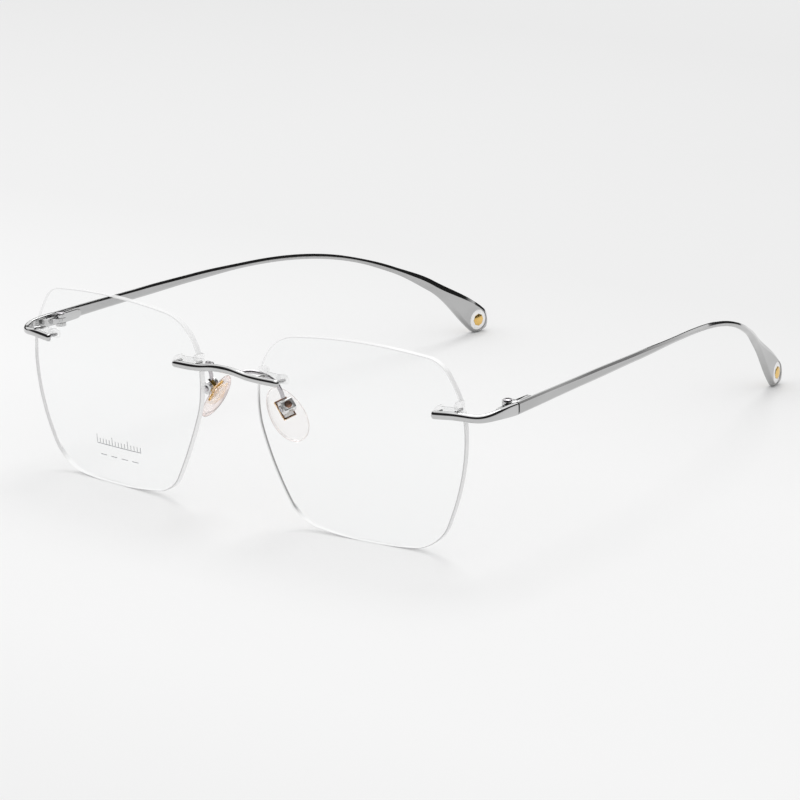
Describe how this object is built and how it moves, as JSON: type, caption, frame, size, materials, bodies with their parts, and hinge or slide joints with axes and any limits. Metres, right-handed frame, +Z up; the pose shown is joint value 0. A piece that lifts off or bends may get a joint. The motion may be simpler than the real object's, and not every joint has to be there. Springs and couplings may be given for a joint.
{
  "type": "rimless eyeglasses",
  "caption": "Rimless eyeglasses: clear geometric lenses drilled onto a slim metal bridge and endpieces, with folding curved temples and rocking nose pads.",
  "frame": {"origin": "on the table in the mirror plane, in the middle of the underside of the whole part's box", "axes": "+X to the wearer's left, +Y from the lenses towards the temple tips, +Z up; the glasses stand open"},
  "size_m": [0.1358, 0.1568, 0.0448],
  "materials": {
    "titanium": "satin titanium, silver plated",
    "steel": "polished stainless steel",
    "gold": "gold plated, polished",
    "pearl": "pearl white enamel, glossy",
    "lens": "clear coated demo lens",
    "bushing": "clear plastic mounting bushing",
    "silicone": "clear soft silicone, faintly pink"
  },
  "bodies": {
    "front": {"bridge": "titanium", "lens_left": "lens", "bridge_bushing_left": "bushing", "temple_bushing_left": "bushing", "pad_arm_left": "titanium", "pad_box_left": "steel", "pad_screw_left": "steel", "endpiece_left": "titanium", "hinge_front_leaf_left": "titanium", "hinge_screw_left": "steel", "lens_right": "lens", "bridge_bushing_right": "bushing", "temple_bushing_right": "bushing", "pad_arm_right": "titanium", "pad_box_right": "steel", "pad_screw_right": "steel", "endpiece_right": "titanium", "hinge_front_leaf_right": "titanium", "hinge_screw_right": "steel"},
    "temple_left_body": {"temple_left": "titanium", "hinge_temple_leaf_left": "titanium", "tip_disc_left": "pearl", "tip_stud_left": "gold"},
    "nose_pad_left_body": {"nose_pad_left": "silicone", "pad_insert_left": "gold"},
    "temple_right_body": {"temple_right": "titanium", "hinge_temple_leaf_right": "titanium", "tip_disc_right": "pearl", "tip_stud_right": "gold"},
    "nose_pad_right_body": {"nose_pad_right": "silicone", "pad_insert_right": "gold"}
  },
  "joints": [
    {"name": "temple_hinge_left", "type": "hinge", "parent": "front", "child": "temple_left_body", "pos_m": [0.0649, -0.06054, 0.0316], "axis": [0, 0, 1], "range_deg": [0, 84]},
    {"name": "temple_hinge_right", "type": "hinge", "parent": "front", "child": "temple_right_body", "pos_m": [-0.0649, -0.06054, 0.0316], "axis": [0, 0, -1], "range_deg": [0, 77]},
    {"name": "nose_pad_rock_left", "type": "hinge", "parent": "front", "child": "nose_pad_left_body", "pos_m": [0.0112, -0.06952, 0.02525], "axis": [0.3568, 0.8971, 0.2606], "range_deg": [-8, 8]},
    {"name": "nose_pad_rock_right", "type": "hinge", "parent": "front", "child": "nose_pad_right_body", "pos_m": [-0.0112, -0.06952, 0.02635], "axis": [-0.0284, 0.965, 0.2606], "range_deg": [-8, 8]}
  ]
}
